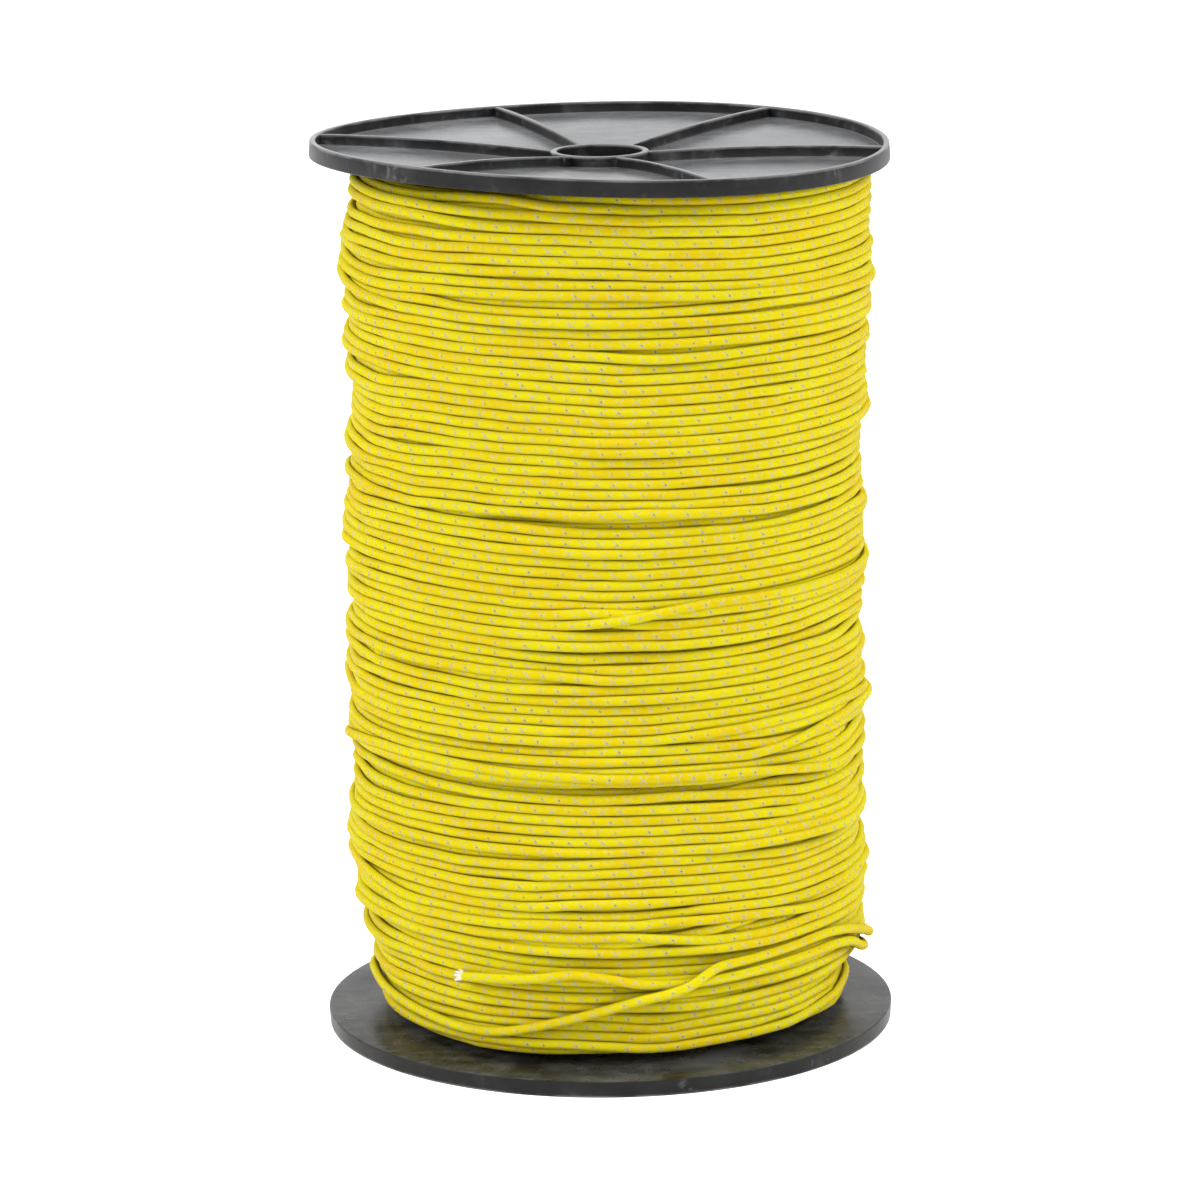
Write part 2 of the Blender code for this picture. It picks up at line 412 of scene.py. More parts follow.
def makeLineMaterial(name, s, first, second):
    material, tree, shader = newMaterial(name)
    along = addNode(tree, "ShaderNodeAttribute", attribute_name="alongLine")
    around = addNode(tree, "ShaderNodeAttribute", attribute_name="aroundLine")
    weave = useGroup(tree, braidGroup, Along=along.outputs["Fac"], Around=around.outputs["Vector"],
                     Strands=s["strands"], PaleEvery=s["paleEvery"], Lead=s["lead"],
                     ToneScale=s["toneScale"])
    body = mixColour(tree, ramp(tree, weave["Tone"], *s["warmRange"]), first, second)
    # painted shade: the weave is darker away from the strand crowns
    body = mixColour(tree, ramp(tree, weave["Height"], *s["crownRange"]), s["weaveValleyShade"], body)
    place = addNode(tree, "ShaderNodeTexCoord").outputs["Object"]
    level = stretched(tree, place, (1, 1, 0))
    outward = through(tree, level, "ShaderNodeVectorMath", operation="NORMALIZE").outputs["Vector"]
    facing = through(tree, outward, "ShaderNodeVectorMath", operation="DOT_PRODUCT")
    wire(tree, addNode(tree, "ShaderNodeNewGeometry").outputs["Normal"], facing.inputs[1])
    facing = facing.outputs["Value"]
    gapShadeMask = mathNode(tree, "MULTIPLY_ADD", weave["Height"], s["beads"], facing)
    gapShadeMask = ramp(tree, gapShadeMask, *s["gapShadeRange"])
    body = mixColour(tree, gapShadeMask, s["hollow"], body)    # painted shade between two turns
    shown = ramp(tree, weave["Tracer"], *s["threadRange"])
    shown = mathNode(tree, "MULTIPLY", shown, marks(tree, place, s["threadBreaks"]))
    # no pale thread where the line faces its neighbours, so the painted shade there stays dark
    shown = mathNode(tree, "MULTIPLY", shown, ramp(tree, facing, *s["outwardRange"]))
    # painted shade: each pale thread is darker at its sides than on its crest
    crest = ramp(tree, weave["Tracer"], *s["crestRange"])
    thread = mixColour(tree, crest, s["tracerSideShade"], s["tracer"])
    body = mixColour(tree, shown, body, thread)
    # dark specks where two pale threads cross, in patches
    speckMask = ramp(tree, weave["Fleck"], *s["fleckRange"])
    speckMask = mathNode(tree, "MULTIPLY", speckMask, marks(tree, place, s["speckPatches"]))
    body = mixColour(tree, speckMask, body, s["fleck"])
    rough = mathNode(tree, "MULTIPLY_ADD", shown, -s["threadShine"], s["roughness"])
    fill(tree, shader, {"Base Color": body, "Roughness": rough, "Specular IOR Level": s["specular"]})
    bumpInto(tree, shader, weave["Height"], s["strandBump"], s["strandDepth"])
    return material


def makePlasticMaterial(name, s, dustAndSheenShare=1.0, polishShare=1.0, even=0.5):
    material, tree, shader = newMaterial(name)
    place = addNode(tree, "ShaderNodeTexCoord").outputs["Object"]
    facing = addNode(tree, "ShaderNodeNewGeometry").outputs["Normal"]
    edge = addNode(tree, "ShaderNodeAttribute", attribute_name="edgeWearAndHighlight").outputs["Fac"]
    scuffs = useGroup(tree, scuffGroup, Place=place, Amount=s["scuffAmount"])
    dustAndSheen = useGroup(tree, dustAndSheenGroup, Place=place, Facing=facing, Amount=s["dustAndSheenAmount"] * dustAndSheenShare,
                    Even=even)
    grey = ramp(tree, scuffs["Mottle"], *s["greyRange"])
    body = mixColour(tree, grey, s["black"], s["grey"])
    # dust and painted sheen on faces that look up
    body = mixColour(tree, dustAndSheen["DustAndSheen"], body, s["dustAndSheen"])
    body = mixColour(tree, scuffs["Scuff"], body, s["scratch"])
    # rubbed top edges, partly a painted highlight along them
    worn = mathNode(tree, "MULTIPLY", edge, ramp(tree, scuffs["Mottle"], *s["edgeWearAndHighlightRange"]))
    body = mixColour(tree, worn, body, s["edge"])
    rough = mathNode(tree, "MULTIPLY_ADD", scuffs["Mottle"], s["smudge"], s["roughness"])
    rough = mathNode(tree, "MULTIPLY_ADD", dustAndSheen["Level"], -s["polish"] * polishShare, rough)
    rough = mathNode(tree, "MULTIPLY_ADD", dustAndSheen["DustAndSheen"], s["dustAndSheenRoughness"], rough)
    fill(tree, shader, {"Base Color": body, "Roughness": rough, "Specular IOR Level": s["gloss"]})
    bumpInto(tree, shader, scuffs["Grain"], s["grainBump"], s["grainDepth"])
    return material


def makeCoreMaterial(name, s):
    material, tree, shader = newMaterial(name)
    place = addNode(tree, "ShaderNodeTexCoord").outputs["Object"]
    fuzz = noise(tree, place, *s["fuzz"])
    white = ramp(tree, fuzz, *s["whiteRange"])
    body = mixColour(tree, white, s["shade"], s["white"])
    rough = mathNode(tree, "MULTIPLY_ADD", fuzz, s["roughSpread"], s["roughness"])
    fill(tree, shader, {"Base Color": body, "Roughness": rough})
    bumpInto(tree, shader, fuzz, s["fuzzBump"], s["fuzzDepth"])
    return material


lineYellow = makeLineMaterial("braidedYellow", lineFinish, lineFinish["bright"], lineFinish["warm"])
# a shaded copy of the line for the turns below: painted shade
lineShade = makeLineMaterial("braidedYellowPaintedShade", lineFinish, lineFinish["under"], lineFinish["warm"])
flangePlastic = makePlasticMaterial("scuffedBlackPlastic", plasticFinish)
# painted shade: the lower flange is a copy with less pale dust and painted sheen, as the winding shades it
lowFlangePlastic = makePlasticMaterial("shadedBlackPlastic", plasticFinish, dustAndSheenShare=0.42, polishShare=0.35,
                                       even=0.0)
barrelPlastic = makePlasticMaterial("barrelBlackPlastic", plasticFinish, dustAndSheenShare=0.0)
coreWhite = makeCoreMaterial("whiteCoreStrands", coreFinish)
print("finishes ready")


# The winding: line is laid turn by turn, sinks into the hollows between earlier turns and is pulled tight

windingSettings = {
    "lineDiameter": 0.003,
    "passes": 5,              # laid from flange to flange
    "shownPasses": 3,         # the last ones, which can be seen
    "pitch": 0.00315,
    "shortStop": 0.004,       # how far from a flange the guide may turn back
    "columns": 96,            # places round one turn
    "belly": 0.07875,         # outer radius at the fullest part
    "bottom": 0.0715,
    "top": 0.0800,
    "shoulder": 0.070,        # length of the fall towards each flange
    "fall": 1.7,              # how late that fall begins
    "lean": 0.0026,           # the upper winding is fuller on the right
    "leanRise": 2,            # how fast that comes in with the height
    "leanStart": 0.9,
    "dent": 0.0024,           # turns lie deeper at the left, where the loose end crosses them
    "dentAngle": -85,         # degrees from the front
    "dentWidth": 50,
    "dentHeight": 0.0145,
    "dentReach": 0.0110,
    "buildUp": 0.0158,        # thickness of all the passes together
    "slide": 0.0040,          # how far a turn may slip sideways to find a hollow
    "slideSteps": 41,
    "hold": 55.0,             # what keeps a turn where the guide puts it
    "stiffness": 150.0,
    "proudShare": 92,         # percent of the shown line that stays inside the outline
    "proudKept": 0.55,        # the line is soft: turns that stand proud press into those below
    "proudFrom": 0.0008,      # depth under the outline where that begins
    "pullReach": 12,          # places of the turn before that the pull still reaches
    # length in turns and size of each wave in the guide's run
    "waves": ((0.63, 0.10), (1.37, 0.36), (2.9, 0.48), (6.3, 0.52), (15.0, 0.5), (37.0, 0.6)),
    "waveSize": 0.59e-3,
    "waveSpread": (0.8, 1.25),
    "waveParts": 3,
    "slope": 0.0017,          # bundles of turns that run a little uphill or downhill
    "slopeShare": 0.6,
    "bundleHeight": (0.035, 0.08),
    "startAngle": -140,       # degrees from the front, where the tail begins
    "seed": 11,
    "sides": 10,
    "turnsInPiece": 41,
}


def windingProfile(z, angle, s):
    low = np.clip(1 - (z - lineLow) / s["shoulder"], 0, None)
    high = np.clip(1 - (lineHigh - z) / s["shoulder"], 0, None)
    outline = s["belly"] - (s["belly"] - s["bottom"]) * low ** s["fall"]
    outline = outline - (s["belly"] - s["top"]) * high ** s["fall"]
    upper = np.clip((z - lineLow) / (lineHigh - lineLow) * s["leanRise"] - s["leanStart"], 0, 1)
    turn = np.degrees(np.angle(np.exp(1j * (angle - math.radians(s["dentAngle"] - 90)))))
    side = np.clip(1 - (turn / s["dentWidth"]) ** 2, 0, None)
    level = np.clip(1 - ((z - s["dentHeight"]) / s["dentReach"]) ** 2, 0, None)
    return outline + s["lean"] * upper * np.cos(angle) - s["dent"] * np.sqrt(side * level)


def windingAngles(s):
    return math.radians(s["startAngle"] - 90) + math.tau * np.arange(s["columns"]) / s["columns"]


def guidePlaces(s, turns, turnsInPass, rng):
    # the height that the guide aims at, for every place along the line
    columns = s["columns"]
    steps = np.arange(turns * columns) / columns
    legs = steps / turnsInPass
    whole = np.floor(legs).astype(int)
    stops = np.where(np.arange(s["passes"] + 2) % 2 == s["passes"] % 2, lineLow, lineHigh)
    inward = np.where(stops == lineLow, 1, -1)
    stops = stops + inward * (s["lineDiameter"] / 2 + rng.uniform(0, s["shortStop"], len(stops)))
    stops[s["passes"]] = lineLow + s["lineDiameter"] / 2
    z = stops[whole] + (stops[whole + 1] - stops[whole]) * (legs - whole)
    for length, size in s["waves"]:
        for part in range(s["waveParts"]):
            wave = steps / (length * rng.uniform(*s["waveSpread"])) + rng.random()
            z += size * s["waveSize"] * np.sin(math.tau * wave)
    angle = math.tau * steps
    for part in range(1, s["waveParts"] + 1):
        swing = np.sin(math.tau * (z / rng.uniform(*s["bundleHeight"]) + rng.random()))
        z += s["slope"] * s["slopeShare"] * swing * np.sin(angle * part + math.tau * rng.random()) / part
    return z.reshape(turns, columns)


def restingRadius(z, columnsZ, columnsR, floor, diameter):
    # how far out a line at height z comes to rest on the turns already there
    gap = z[None] - columnsZ[..., None]
    rise = columnsR[..., None] + np.sqrt(np.clip(diameter ** 2 - gap ** 2, 0, None))
    rise = np.where(np.abs(gap) < diameter, rise, 0)
    return np.maximum(floor, rise.max(axis=0)) if len(columnsZ) else floor


def slipIntoHollows(rest, offsets, hold, bend, last):
    # the cheapest smooth path of sideways slips along one turn
    local = rest + hold * offsets[None, :] ** 2
    cost = local[0] if last is None else local[0] + bend[np.argmin(np.abs(offsets - last))]
    back = np.zeros(rest.shape, int)
    for j in range(1, len(rest)):
        both = cost[None, :] + bend
        back[j] = both.argmin(axis=1)
        cost = both.min(axis=1) + local[j]
    pick = np.zeros(len(rest), int)
    pick[-1] = cost.argmin()
    for j in range(len(rest) - 1, 0, -1):
        pick[j - 1] = back[j, pick[j]]
    return pick


def pulledTight(places, radii, mean):
    # a tight line bridges hollows in straight runs
    flat = radii - mean * places ** 2 / 2
    hull = []
    for i in range(len(places)):
        while len(hull) > 1:
            a, b = hull[-2], hull[-1]
            if (flat[b] - flat[a]) * (places[i] - places[a]) > (flat[i] - flat[a]) * (places[b] - places[a]):
                break
            hull.pop()
        hull.append(i)
    return np.interp(places, places[hull], flat[hull]) + mean * places ** 2 / 2


def layLine(s, ceiling):
    rng = np.random.default_rng(s["seed"])
    d = s["lineDiameter"]
    columns = s["columns"]
    turnsInPass = (lineHigh - lineLow - d) / s["pitch"]
    turns = int(turnsInPass * s["passes"])
    aim = guidePlaces(s, turns, turnsInPass, rng)
    offsets = np.linspace(-s["slide"], s["slide"], s["slideSteps"])
    step = math.tau / columns
    bend = s["stiffness"] * (offsets[:, None] - offsets[None, :]) ** 2 / step
    radius = np.zeros((turns, columns))
    height = np.zeros((turns, columns))
    lead = s["pullReach"]
    every = np.arange(columns)
    around = windingAngles(s)[:, None]
    last = None
    for turn in range(turns):
        tries = np.clip(aim[turn][:, None] + offsets, lineLow + d / 2, (ceiling - d / 2)[:, None])
        near = [k for k in range(turn)
                if height[k].max() > tries.min() - d and height[k].min() < tries.max() + d]
        floor = windingProfile(tries, around, s) - s["buildUp"] + d / 2
        rest = restingRadius(tries, height[near], radius[near], floor, d)
        pick = slipIntoHollows(rest, offsets, s["hold"], bend, last)
        last = offsets[pick[-1]]
        height[turn] = tries[every, pick]
        places = every * step
        radii = rest[every, pick]
        if turn:
            places = np.concatenate((np.arange(-lead, 0) * step, places))
            radii = np.concatenate((radius[turn - 1][-lead:], radii))
        radius[turn] = pulledTight(places, radii, s["belly"])[-columns:]
    shown = slice(int(turnsInPass * (s["passes"] - s["shownPasses"])), None)
    proud = radius[shown] + d / 2 - windingProfile(height[shown], windingAngles(s), s)
    radius -= np.percentile(proud, s["proudShare"])
    proud = radius + d / 2 + s["proudFrom"] - windingProfile(height, windingAngles(s), s)
    return radius - (1 - s["proudKept"]) * np.clip(proud, 0, None), height, turnsInPass


def plateLevel(x, y, w):
    # the winding has pushed the rim outwards, which leaves the hub lower; a plate may also stand crooked
    r = np.hypot(x, y)
    share = np.clip((r - w["hub"]) / (w["rim"] - w["hub"]), 0, 1)
    angle = np.arctan2(y, x)
    crooked = w["tilt"] * np.cos(angle) + w["saddle"] * np.sin(2 * angle)
    return share * crooked - w["dish"] * (1 - share) ** w["curve"]


topPlate = {"hub": 0.0147, "rim": 0.084, "dish": 0.0035, "curve": 2.0, "tilt": -0.0013, "saddle": 0.0010}
bottomPlate = {**topPlate, "tilt": 0.0, "saddle": 0.0}


angles = windingAngles(windingSettings)
reach = windingSettings["belly"]
ceiling = lineHigh + np.minimum(0, plateLevel(reach * np.cos(angles), reach * np.sin(angles), topPlate))
turnRadius, turnHeight, turnsInPass = layLine(windingSettings, ceiling)
shownStart = int(turnsInPass * (windingSettings["passes"] - windingSettings["shownPasses"]))
outer = float(np.percentile(turnRadius[shownStart:], 90)) + windingSettings["lineDiameter"] / 2
print("winding laid,", len(turnRadius), "turns, outer radius", round(outer * 1000, 2), "mm")


def newTree(name, shapeIn, sizes, shapeOut):
    # a geometry node tree with named inputs, and a material as its last one
    tree = bpy.data.node_groups.new(name, "GeometryNodeTree")
    tree.is_modifier = True
    face = tree.interface
    face.new_socket(shapeIn, in_out="INPUT", socket_type="NodeSocketGeometry")
    for title, kind, value in sizes:
        face.new_socket(title, in_out="INPUT", socket_type="NodeSocket" + kind).default_value = value
    face.new_socket("Finish", in_out="INPUT", socket_type="NodeSocketMaterial")
    face.new_socket(shapeOut, in_out="OUTPUT", socket_type="NodeSocketGeometry")
    return tree, addNode(tree, "NodeGroupInput").outputs, addNode(tree, "NodeGroupOutput").inputs


def endTree(tree, shape, material, target):
    real = through(tree, shape, "GeometryNodeRealizeInstances")
    finish = through(tree, real.outputs["Geometry"], "GeometryNodeSetMaterial")
    wire(tree, material, finish.inputs["Material"])
    wire(tree, finish.outputs["Geometry"], target)


def stored(tree, shape, title, kind, value):
    node = through(tree, shape, "GeometryNodeStoreNamedAttribute", data_type=kind, domain="POINT")
    fill(tree, node, {"Name": title, "Value": value})
    return node.outputs["Geometry"]


def makeTubeTree(name, normalMode):
    # a round tube along a line of points; the weave needs the length along it and the direction round it
    sizes = (("Radius", "Float", 0.0015), ("Sides", "Int", 10), ("Start Length", "Float", 0.0))
    tree, given, out = newTree(name, "Path", sizes, "Tube")
    toCurve = through(tree, given["Path"], "GeometryNodeMeshToCurve")
    normals = through(tree, toCurve.outputs["Curve"], "GeometryNodeSetCurveNormal", mode=normalMode)
    length = addNode(tree, "GeometryNodeSplineParameter").outputs["Length"]
    length = mathNode(tree, "ADD", length, given["Start Length"])
    along = stored(tree, normals.outputs["Curve"], "alongLine", "FLOAT", length)
    ring = addNode(tree, "GeometryNodeCurvePrimitiveCircle", mode="RADIUS")
    fill(tree, ring, {"Resolution": given["Sides"], "Radius": given["Radius"]})
    place = addNode(tree, "GeometryNodeInputPosition").outputs["Position"]
    unit = through(tree, place, "ShaderNodeVectorMath", operation="NORMALIZE").outputs["Vector"]
    around = stored(tree, ring.outputs["Curve"], "aroundLine", "FLOAT_VECTOR", unit)
    tube = addNode(tree, "GeometryNodeCurveToMesh")
    fill(tree, tube, {"Curve": along, "Profile Curve": around, "Fill Caps": True})
    smooth = through(tree, tube.outputs["Mesh"], "GeometryNodeSetShadeSmooth")
    endTree(tree, smooth.outputs["Geometry"], given["Finish"], out["Tube"])
    return tree


def setInputs(modifier, values):
    for item in modifier.node_group.interface.items_tree:
        if item.in_out == "INPUT" and item.name in values:
            modifier[item.identifier] = values[item.name]


def tubeAlong(name, points, tree, radius, sides, material, startLength=0.0):
    mesh = bpy.data.meshes.new(name)
    mesh.from_pydata([tuple(p) for p in points], [(i, i + 1) for i in range(len(points) - 1)], [])
    piece = addPiece(name, mesh)
    modifier = piece.modifiers.new("Tube", "NODES")
    modifier.node_group = tree
    setInputs(modifier, {"Radius": radius, "Sides": sides, "Start Length": startLength, "Finish": material})
    return frozen(piece)


turnTree = makeTubeTree("WoundTurns", "Z_UP")
tailTree = makeTubeTree("LooseLine", "MINIMUM_TWIST")


def windingPoints(s, radius, height, first):
    r = radius[first:].ravel()
    around = np.tile(windingAngles(s), len(radius) - first)
    return np.column_stack((r * np.cos(around), r * np.sin(around), height[first:].ravel()))


# The loose end: leaves the last turn, climbs to the right, doubles back in a bight and runs left to its cut

tailSettings = {
    # degrees round from the front, height, layers above the outer turns
    "route": (
        (-130, 0.0092, 0.5), (-102, 0.0150, 1.0), (-87, 0.0165, 1.15), (-67, 0.0158, 1.15),
        (-54, 0.0144, 1.0), (-42, 0.0136, 1.0), (-29, 0.0137, 1.0), (-17, 0.0170, 1.0),
        (0.8, 0.0243, 1.1), (6.5, 0.0269, 1.6), (12.2, 0.0291, 2.1), (17, 0.0312, 2.2),
        (20.3, 0.0336, 1.9), (24, 0.0350, 1.4), (31, 0.0352, 1.1), (45, 0.0358, 1.05),
        (57, 0.0361, 1.0), (66, 0.0348, 1.0), (76, 0.0309, 1.0), (89, 0.0252, 1.05),
        (97, 0.0236, 1.05), (104, 0.0244, 1.0), (109.5, 0.0277, 1.0), (114.4, 0.0245, 1.0),
        (114.4, 0.0171, 1.0), (109.5, 0.0139, 1.0), (104, 0.0173, 1.0), (97, 0.0199, 1.05),
        (89, 0.0215, 1.05), (83, 0.0232, 1.05), (74, 0.0268, 1.0), (68.5, 0.0300, 1.0),
        (60, 0.0321, 1.0), (40, 0.0320, 1.05), (20, 0.0309, 1.0), (9, 0.0312, 1.0),
        (-2, 0.0337, 1.0), (-8.5, 0.0347, 1.0), (-16, 0.0332, 1.0), (-34, 0.0310, 1.0),
    ),
    "layer": 0.0034,
    "spacing": 0.0012,
    "keepEvery": 3,           # places that the finished run goes through
    "sides": 16,
    "soften": 6,              # steps that round off the bumps under the line
    "leadIn": 3,              # places shared with the last turn
    "curveSamples": 12,
    "ease": 3,                # steps that take the kinks out of the finished run
}


def makeTurns(s):
    points = windingPoints(s, turnRadius, turnHeight, shownStart)[:1 - tailSettings["leadIn"]]
    size = s["turnsInPiece"] * s["columns"]
    steps = np.linalg.norm(np.diff(points, axis=0), axis=1)
    lengths = np.concatenate(([0], np.cumsum(steps)))
    for number, start in enumerate(range(0, len(points) - 1, size)):
        stretch = points[start:start + size + 1]
        piece = tubeAlong(f"woundTurns_{number + 1}", stretch, turnTree, s["lineDiameter"] / 2, s["sides"],
                          lineYellow, float(lengths[start]))
        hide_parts("line_outer_layer")
        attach(piece, "root")
    return lengths[-1]


shownLength = makeTurns(windingSettings)
print("turns shown,", round(float(shownLength), 1), "m of line")


# The turns below, which only show through gaps: a ring with a ridge for each turn

underSettings = {
    "ridgePitch": 0.0031,
    "ridgePoints": 4,
    "steps": 72,
    "clear": 0.0003,
}


def spun(name, outline, steps, material, weld=0.00001):
    # a closed outline of (radius, height) points turned about the spool's axis
    shape = bmesh.new()
    corners = [shape.verts.new((r, 0, z)) for r, z in outline]
    edges = [shape.edges.new((a, b)) for a, b in zip(corners, corners[1:] + corners[:1])]
    bmesh.ops.spin(shape, geom=corners + edges, cent=(0, 0, 0), axis=(0, 0, 1), angle=math.tau, steps=steps)
    bmesh.ops.remove_doubles(shape, verts=shape.verts, dist=weld)
    bmesh.ops.recalc_face_normals(shape, faces=shape.faces)
    return addPiece(name, meshFrom(shape, name), material)


def makeUnderTurns(u, s):
    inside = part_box("barrel")[1][0] + u["clear"]
    swell = s["lineDiameter"] / 2
    lowest = float(turnRadius[shownStart:].min()) - swell - u["clear"]
    rows = int((lineHigh - lineLow) / u["ridgePitch"])
    count = rows * u["ridgePoints"]
    outline = []
    for i in range(count + 1):
        z = lineHigh + (lineLow - lineHigh) * i / count
        ridge = abs(math.sin(math.pi * i / u["ridgePoints"]))
        outline.append((lowest - swell * (1 - ridge), z))
    inset = u["clear"] + topPlate["dish"]
    outline += [(inside, lineLow + inset), (inside, lineHigh - inset)]
    # the darker copy of the line, painted shade
    piece = spun("underTurns", outline, u["steps"], lineShade)
    piece.data.shade_smooth()
    points = cornerPlaces(piece.data)
    turn = np.arctan2(points[:, 1], points[:, 0])
    along = piece.data.attributes.new("alongLine", "FLOAT", "POINT")
    along.data.foreach_set("value", lowest * np.abs(turn))
    phase = math.tau * (points[:, 2] - lineLow) / (2 * u["ridgePitch"])
    around = piece.data.attributes.new("aroundLine", "FLOAT_VECTOR", "POINT")
    vectors = np.column_stack((np.cos(phase), np.sin(phase), 0 * phase))
    around.data.foreach_set("vector", vectors.ravel())
    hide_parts("line_inner_layers")
    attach(piece, "root")


makeUnderTurns(underSettings, windingSettings)
print("lower turns ready")


def smoothRoute(route, spacing, samples):
    # a smooth curve through the points, read off at even steps
    ends = np.vstack((2 * route[0] - route[1], route, 2 * route[-1] - route[-2]))
    t = (np.arange(samples) / samples)[:, None]
    runs = []
    for before, here, there, after in zip(ends, ends[1:], ends[2:], ends[3:]):
        pull = (there - before) * t + (2 * before - 5 * here + 4 * there - after) * t ** 2
        runs.append(here + (pull + (3 * here - 3 * there + after - before) * t ** 3) / 2)
    fine = np.vstack(runs + [route[-1:]])
    lengths = np.concatenate(([0], np.cumsum(np.linalg.norm(np.diff(fine, axis=0), axis=1))))
    stations = np.linspace(0, lengths[-1], max(2, round(lengths[-1] / spacing)) + 1)
    return np.column_stack([np.interp(stations, lengths, fine[:, axis]) for axis in range(3)])


def surfaceUnder(angle, z, s):
    # where a line at this angle and height rests on the turns before the last one
    place = (angle - windingAngles(s)[0]) / math.tau * s["columns"]
    column = int(round(place)) % s["columns"]
    heights = turnHeight[shownStart:-1, column]
    radii = turnRadius[shownStart:-1, column]
    gap = np.abs(heights - z)
    touching = gap < s["lineDiameter"]
    rest = radii[touching] + np.sqrt(s["lineDiameter"] ** 2 - gap[touching] ** 2)
    return float(rest.max()) if len(rest) else float(windingProfile(z, angle, s)) - s["lineDiameter"] / 2


def runningMean(values, reach):
    weights = np.hanning(2 * reach + 3)[1:-1]
    return np.convolve(values, weights / weights.sum(), mode="valid")


def softened(values, reach):
    # a rounded outline that stays on or above the values
    count = len(values)
    high = np.array([values[max(0, i - reach):i + reach + 1].max() for i in range(count)])
    return runningMean(np.pad(high, reach, mode="edge"), reach)


def rounded(values, reach):
    # a running mean that keeps both ends where they are
    before = 2 * values[0] - values[reach:0:-1]
    after = 2 * values[-1] - values[-2:-reach - 2:-1]
    return runningMean(np.concatenate((before, values, after)), reach)


def makeTail(t, s):
    start = windingPoints(s, turnRadius, turnHeight, len(turnRadius) - 1)[-t["leadIn"]:]
    route = []
    for angle, z, layer in t["route"]:
        route.append((math.radians(angle - 90), z, max(0.0, layer - 1) * t["layer"]))
    flat = np.array(route)
    flat[:, 0] *= s["belly"]
    flat = smoothRoute(flat, t["spacing"], t["curveSamples"])
    rest = np.array([surfaceUnder(x / s["belly"], z, s) for x, z, lift in flat])
    radius = softened(rest, t["soften"]) + flat[:, 2]
    turn = flat[:, 0] / s["belly"]
    body = np.column_stack((radius * np.cos(turn), radius * np.sin(turn), flat[:, 1]))
    picked = body[::-1][::t["keepEvery"]][::-1]
    path = smoothRoute(np.vstack((start, picked[1:])), t["spacing"], t["curveSamples"])
    for axis in range(3):
        path[:, axis] = rounded(path[:, axis], t["ease"])
    piece = tubeAlong("looseTail", path, tailTree, s["lineDiameter"] / 2, t["sides"], lineYellow)
    return piece, path


endSettings = {
    "strands": 14,
    "strandDiameter": 0.00062,
    "length": 0.0034,
    "root": 0.0009,           # spread of the strands where they leave the line
    "flare": 0.0019,          # and at their tips
    "overlap": 0.0004,
    "uneven": 0.28,
    "points": 6,
    "sides": 8,
}


def makeCutEnd(e, path):
    # white core strands that spread a little where the line was cut
    tip = path[-1]
    ahead = path[-1] - path[-3]
    ahead = ahead / np.linalg.norm(ahead)
    side = np.cross(ahead, (0, 0, 1))
    side = side / np.linalg.norm(side)
    up = np.cross(side, ahead)
    pieces = []
    for i in range(e["strands"]):
        turn = i * math.pi * (3 - math.sqrt(5))    # the golden angle spreads them evenly
        spread = math.sqrt((i + 0.5) / e["strands"])
        reachOut = e["length"] * (1 - e["uneven"] * ((i * 5) % 7) / 6)
        share = np.linspace(0, 1, e["points"])[:, None]
        outward = (side * math.cos(turn) + up * math.sin(turn)) * spread
        apart = e["root"] * (1 - share) + e["flare"] * share
        points = tip - ahead * e["overlap"] + ahead * reachOut * share + outward * apart
        pieces.append(tubeAlong(f"coreStrand_{i + 1}", points, tailTree, e["strandDiameter"] / 2, e["sides"],
                                coreWhite))
    return joined("cutEnd", pieces)


def joined(name, pieces):
    shape = bmesh.new()
    for piece in pieces:
        shape.from_mesh(piece.data)
    mesh = meshFrom(shape, name)
    mesh.shade_smooth()
    material = pieces[0].data.materials[0]
    for piece in pieces:
        bpy.data.objects.remove(piece, do_unlink=True)
    return addPiece(name, mesh, material)


tail, tailPath = makeTail(tailSettings, windingSettings)
cutEnd = makeCutEnd(endSettings, tailPath)
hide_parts("line_tail")
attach(tail, "root")
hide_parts("line_end_core")
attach(cutEnd, "root")


# The flanges: a turned plate with rim and hub, joined to a ring of filleted ribs

flangeSettings = {
    "rimHeight": 0.005,
    "rimWall": 0.0020,
    "rimDraft": 0.0003,
    "disc": 0.0017,
    "edgeRound": 0.0004,
    "fillet": 0.0004,
    "bore": 0.0127,
    "hubWall": 0.0020,
    "hubDepth": 0.012,
    "spigotRadius": 0.0222,
    "spigotWall": 0.0020,
    "spigotDepth": 0.012,
    "ribs": 6,
    "ribThickness": 0.0017,
    "ribDrop": 0.0002,
    "ribBite": 0.0006,
    "wearDepth": 0.0004,      # how far the rubbed edges fade downwards
    "firstRib": -8,           # degrees
    "steps": 192,
    "arcPoints": 4,
    "floorRings": 10,
    "ribRuns": 14,
    "ribArcPoints": 3,
    "ribEdge": 0.7,           # share of edgeRound
    "toeWidth": 0.9,          # shares of fillet, out from the rib and up from the plate
    "flareShape": ((0.6, 0.12), (0.2, 0.42), (0.0, 1.0)),
    "sharpAngle": 50,         # degrees
}


def roundedOutline(corners, arcPoints):
    # corners are (across, up, radius); each is replaced by an arc that touches both its sides
    points = []
    count = len(corners)
    for i, (x, y, radius) in enumerate(corners):
        here = Vector((x, y))
        if radius == 0:
            points.append(here)
            continue
        back = (Vector(corners[i - 1][:2]) - here).normalized()
        ahead = (Vector(corners[(i + 1) % count][:2]) - here).normalized()
        half = back.angle(ahead) / 2
        centre = here + (back + ahead).normalized() * (radius / math.sin(half))
        first = here + back * (radius / math.tan(half)) - centre
        last = here + ahead * (radius / math.tan(half)) - centre
        swing = math.pi - 2 * half
        for k in range(arcPoints + 1):
            share = k / arcPoints
            arm = (first * math.sin((1 - share) * swing) + last * math.sin(share * swing)) / math.sin(swing)
            points.append(centre + arm)
    return [tuple(p) for p in points]


